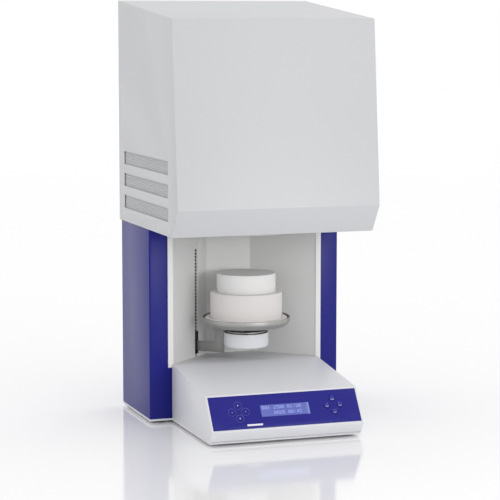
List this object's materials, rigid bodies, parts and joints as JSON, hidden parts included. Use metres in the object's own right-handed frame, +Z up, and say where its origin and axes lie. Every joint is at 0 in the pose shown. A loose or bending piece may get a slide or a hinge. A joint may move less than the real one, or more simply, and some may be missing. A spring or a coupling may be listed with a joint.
{
  "type": "bottom-loading bench kiln",
  "caption": "Bench-top kiln with a fixed hood over an open bay, a hearth that lifts up into its round firing chamber, and a sloping control panel.",
  "frame": {"origin": "on the floor, at the middle of the footprint's width and depth", "axes": "+Z up, front and control panel towards -Y, +X to the right of someone who faces the front"},
  "size_m": [0.38, 0.4344, 0.781],
  "materials": {
    "white_paint": "satin",
    "blue_paint": "satin",
    "panel_film": "satin",
    "display": "gloss",
    "circuit": "matte",
    "rubber": "matte",
    "steel": "brushed",
    "galvanised": "satin",
    "band": "satin",
    "fibre": "matte",
    "plug_fibre": "matte",
    "hearth": "matte",
    "cap_white": "satin",
    "element": "matte",
    "holder": "matte",
    "braid": "matte",
    "core_iron": "matte",
    "copper_winding": "gloss",
    "heatsink": "anodised",
    "black_plastic": "matte",
    "green_rocker": "gloss",
    "motor": "satin",
    "cast_carriage": "matte",
    "bronze": "satin",
    "black_steel": "matte",
    "arm_steel": "satin",
    "pan_steel": "satin",
    "mesh_steel": "satin"
  },
  "bodies": {
    "root": {"base_tray": "white_paint", "feet": "rubber", "base_cover": "white_paint", "control_panel": "panel_film", "lcd_display": "display", "control_board": "circuit", "left_column": "blue_paint", "right_column": "blue_paint", "bay_liner": "white_paint", "frame_posts": "galvanised", "column_back": "blue_paint", "hood_deck": "galvanised", "hood_shell": "white_paint", "vent_screens": "mesh_steel", "hood_back": "white_paint", "wall_spacers": "rubber", "cover_screws": "steel", "throat_collar": "steel", "throat_ring": "fibre", "chamber_ring": "fibre", "chamber_roof": "fibre", "chamber_casing": "galvanised", "casing_lid": "galvanised", "heating_elements": "element", "element_clamps": "holder", "element_straps": "braid", "thermocouple": "holder", "transformer_core": "core_iron", "transformer_coils": "copper_winding", "power_module": "heatsink", "fan_frame": "black_plastic", "fan_guard": "steel", "mains_inlet": "black_plastic", "lift_frame": "galvanised", "guide_rods": "steel", "lift_band": "band", "lift_motor": "motor", "end_sensors": "black_plastic"},
    "lift": {"lift_carriage": "cast_carriage", "carriage_bushes": "bronze", "arm_clamp": "black_steel", "lift_arm": "arm_steel", "arm_studs": "black_steel", "hub_cap": "cap_white", "lift_pan": "pan_steel", "pan_gasket": "fibre", "hearth_plug": "plug_fibre", "hearth_block": "hearth"},
    "menu_key": {"menu_key": "panel_film"},
    "start_key": {"start_key": "panel_film"},
    "stop_key": {"stop_key": "panel_film"},
    "light_key": {"light_key": "panel_film"},
    "up_key": {"up_key": "panel_film"},
    "down_key": {"down_key": "panel_film"},
    "left_key": {"left_key": "panel_film"},
    "right_key": {"right_key": "panel_film"},
    "rocker": {"power_switch": "green_rocker"},
    "fan": {"fan_rotor": "black_plastic"},
    "drive_drum": {"drive_drum": "steel"},
    "idler_drum": {"idler_drum": "steel"}
  },
  "joints": [
    {"name": "lift", "type": "slide", "parent": "root", "child": "lift", "axis": [0, 0, 1], "range_m": [-0.005, 0.156], "deforming": ["lift_band"]},
    {"name": "drive_drum_turn", "type": "hinge", "parent": "root", "child": "drive_drum", "pos_m": [-0.0841, 0.0986, 0.09], "axis": [-0.7071, -0.7071, 0], "range_deg": [-25.6, 739]},
    {"name": "idler_drum_turn", "type": "hinge", "parent": "root", "child": "idler_drum", "pos_m": [-0.0841, 0.0986, 0.3313], "axis": [-0.7071, -0.7071, 0], "range_deg": [-25.6, 739]},
    {"name": "menu_key_press", "type": "slide", "parent": "root", "child": "menu_key", "axis": [0, 0.8265, -0.5629], "range_m": [0, 0.0005], "stiffness_N_per_m": 1000},
    {"name": "start_key_press", "type": "slide", "parent": "root", "child": "start_key", "axis": [0, 0.8265, -0.5629], "range_m": [0, 0.0005], "stiffness_N_per_m": 1000},
    {"name": "stop_key_press", "type": "slide", "parent": "root", "child": "stop_key", "axis": [0, 0.8265, -0.5629], "range_m": [0, 0.0005], "stiffness_N_per_m": 1000},
    {"name": "light_key_press", "type": "slide", "parent": "root", "child": "light_key", "axis": [0, 0.8265, -0.5629], "range_m": [0, 0.0005], "stiffness_N_per_m": 1000},
    {"name": "up_key_press", "type": "slide", "parent": "root", "child": "up_key", "axis": [0, 0.8265, -0.5629], "range_m": [0, 0.0005], "stiffness_N_per_m": 1000},
    {"name": "down_key_press", "type": "slide", "parent": "root", "child": "down_key", "axis": [0, 0.8265, -0.5629], "range_m": [0, 0.0005], "stiffness_N_per_m": 1000},
    {"name": "left_key_press", "type": "slide", "parent": "root", "child": "left_key", "axis": [0, 0.8265, -0.5629], "range_m": [0, 0.0005], "stiffness_N_per_m": 1000},
    {"name": "right_key_press", "type": "slide", "parent": "root", "child": "right_key", "axis": [0, 0.8265, -0.5629], "range_m": [0, 0.0005], "stiffness_N_per_m": 1000},
    {"name": "rocker_tilt", "type": "hinge", "parent": "root", "child": "rocker", "pos_m": [0.14, 0.204, 0.074], "axis": [1, 0, 0], "range_deg": [-16, 0]},
    {"name": "fan_spin", "type": "hinge", "parent": "root", "child": "fan", "pos_m": [-0.095, 0.193, 0.694], "axis": [0, 1, 0], "continuous": true}
  ],
  "couplings": [
    {"joint": "drive_drum_turn", "follows": "lift", "rad_per_m": 82.457},
    {"joint": "idler_drum_turn", "follows": "lift", "rad_per_m": 82.457}
  ]
}
